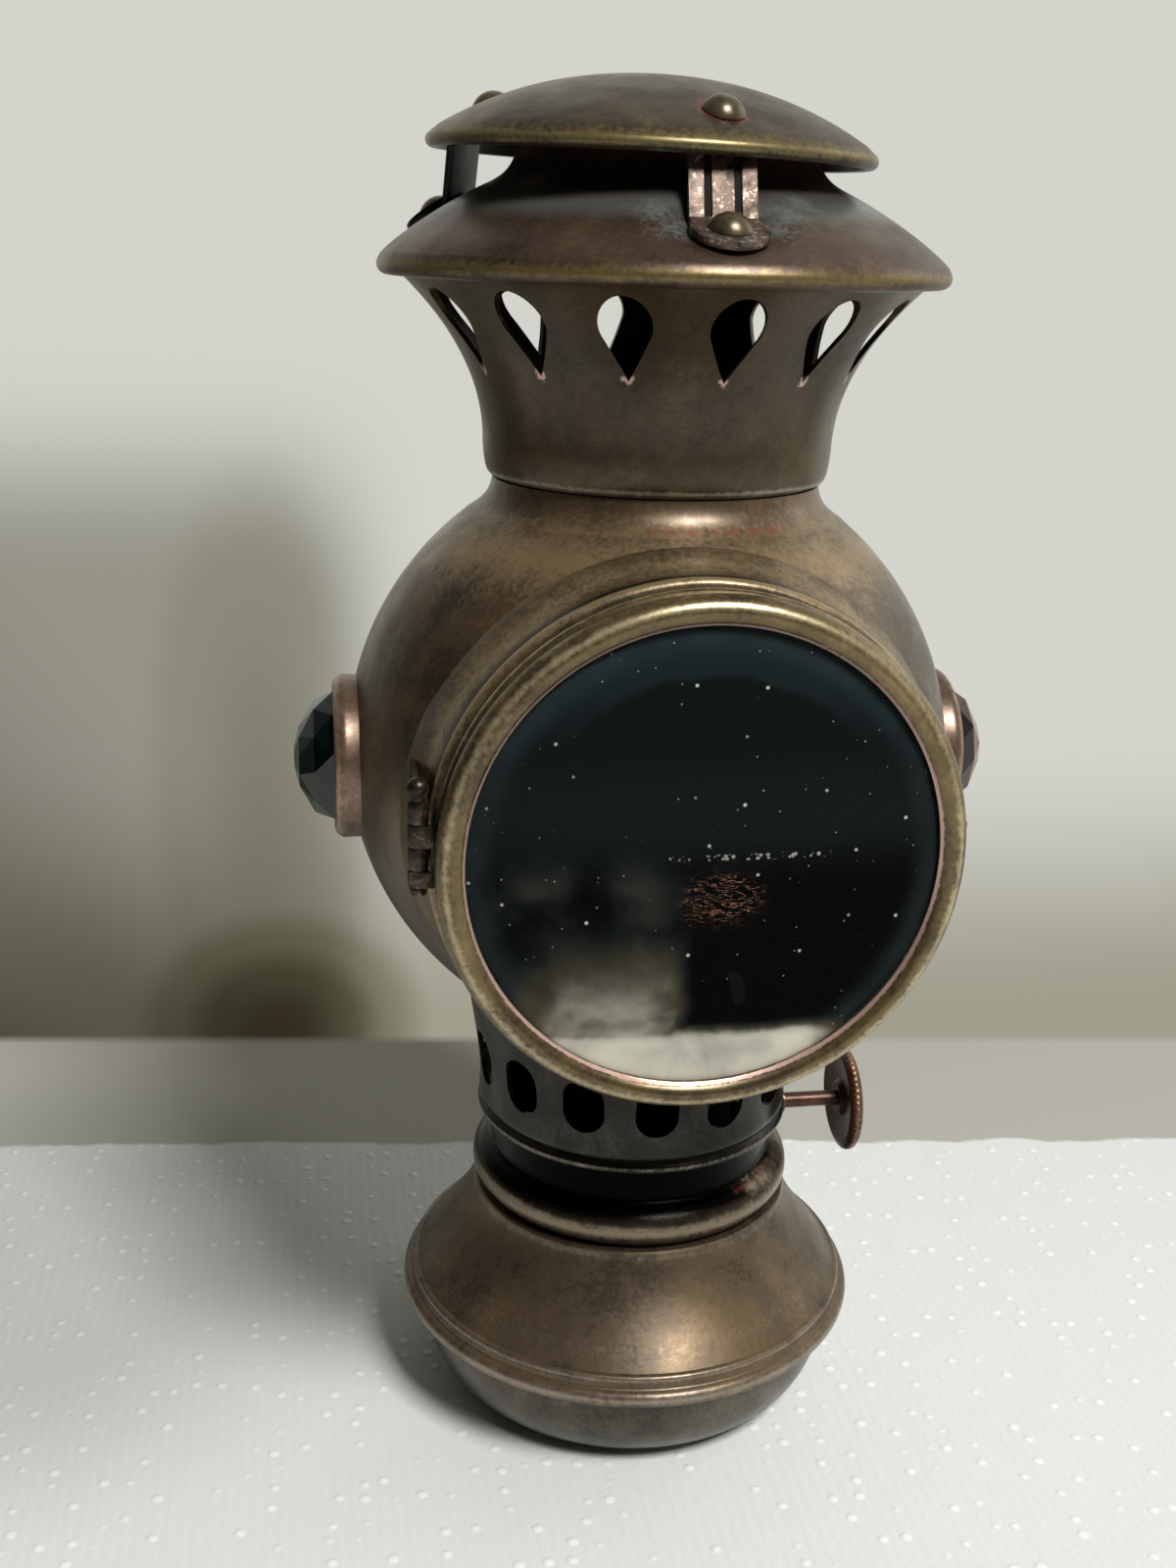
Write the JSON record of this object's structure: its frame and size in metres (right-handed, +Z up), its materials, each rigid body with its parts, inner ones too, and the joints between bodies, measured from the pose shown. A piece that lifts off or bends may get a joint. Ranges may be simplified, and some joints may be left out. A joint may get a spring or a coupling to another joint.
{
  "type": "bicycle lamp",
  "caption": "Kerosene bicycle lamp: spherical brass body, round hinged glass door, side jewels, flared vented chimney with capped hood, drop-out fount.",
  "frame": {"origin": "centre of the fount's flat base, where the lamp stands", "axes": "+Z up along the lamp's axis, +Y towards the bracket at the back (the glass faces -Y), +X towards the wick key and the red jewel"},
  "size_m": [0.1004, 0.1095, 0.1924],
  "materials": {
    "patina": "aged lacquered brass, olive brown, satin",
    "dark_patina": "aged brass, dark grey-brown, satin",
    "hood_patina": "heat-darkened brass, purple brown, satin",
    "worn_brass": "brass worn bright on its high places",
    "worn_copper": "coppery worn brass, scratched",
    "rivet_brass": "aged brass rivet heads",
    "bright_brass": "clean brass",
    "key_brown": "dark red-brown stained brass with a worn rim",
    "silvered": "silvered reflector",
    "clear_glass": "clear glass, dusty",
    "green_glass": "blue-green pressed glass",
    "red_glass": "deep red pressed glass",
    "wick_cotton": "woven cotton wick"
  },
  "bodies": {
    "lamp": {"ball_body": "patina", "front_collar": "patina", "gallery": "dark_patina", "green_bezel": "worn_brass", "green_jewel": "green_glass", "red_bezel": "worn_brass", "red_jewel": "red_glass", "reflector": "silvered", "reflector_post": "bright_brass", "hinge_body_leaf": "dark_patina", "hinge_pin": "worn_brass", "bracket_saddle": "dark_patina", "bracket_rivets": "worn_copper"},
    "chimney": {"crown": "patina", "hood": "hood_patina", "strap_front": "worn_copper", "strap_left": "worn_copper", "strap_right": "worn_copper", "hood_rivets": "rivet_brass", "top_cap": "patina", "cap_rivets": "rivet_brass"},
    "door": {"door_ring": "worn_brass", "lens": "clear_glass", "lens_wire": "bright_brass", "hinge_door_leaf": "dark_patina"},
    "catch": {"catch_spring": "worn_brass", "catch_rivet": "worn_copper"},
    "fount": {"fount_bowl": "dark_patina", "fount_shoulder": "patina", "fount_neck": "patina", "burner_plate": "bright_brass", "burner_basket": "bright_brass", "burner_cone": "bright_brass", "wick_tube": "bright_brass", "spindle_gland": "bright_brass"},
    "key": {"wick_spindle": "key_brown", "wick_wheels": "bright_brass", "wick_key": "key_brown"},
    "wick": {"wick": "wick_cotton"},
    "screw": {"clamp_screw": "worn_brass"},
    "wing": {"clamp_wing": "worn_brass"}
  },
  "joints": [
    {"name": "door_swing", "type": "hinge", "parent": "lamp", "child": "door", "pos_m": [-0.0351, -0.0375, 0.1013], "axis": [0, 0, -1], "range_deg": [0, 110]},
    {"name": "catch_bend", "type": "hinge", "parent": "lamp", "child": "catch", "pos_m": [0.03479, -0.0273, 0.1], "axis": [0, 0, 1], "range_deg": [0, 8], "stiffness_Nm_per_rad": 0.6},
    {"name": "chimney_lift", "type": "slide", "parent": "lamp", "child": "chimney", "axis": [0, 0, 1], "range_m": [0, 0.03]},
    {"name": "fount_drop", "type": "slide", "parent": "lamp", "child": "fount", "axis": [0, 0, -1], "range_m": [0, 0.045]},
    {"name": "key_turn", "type": "hinge", "parent": "fount", "child": "key", "pos_m": [0.0329, 0, 0.0432], "axis": [-1, 0, 0], "range_deg": [-38.5, 115]},
    {"name": "wick_feed", "type": "slide", "parent": "fount", "child": "wick", "axis": [0, 0, 1], "range_m": [-0.002, 0.006]},
    {"name": "screw_feed", "type": "slide", "parent": "lamp", "child": "screw", "axis": [0, -1, 0], "range_m": [0, 0.0032]},
    {"name": "wing_turn", "type": "hinge", "parent": "screw", "child": "wing", "pos_m": [0, 0.0598, 0.102], "axis": [0, -1, 0], "range_deg": [0, 1441]}
  ],
  "couplings": [
    {"joint": "key_turn", "follows": "wick_feed", "rad_per_m": 333.33},
    {"joint": "wing_turn", "follows": "screw_feed", "rad_per_m": 7854}
  ]
}
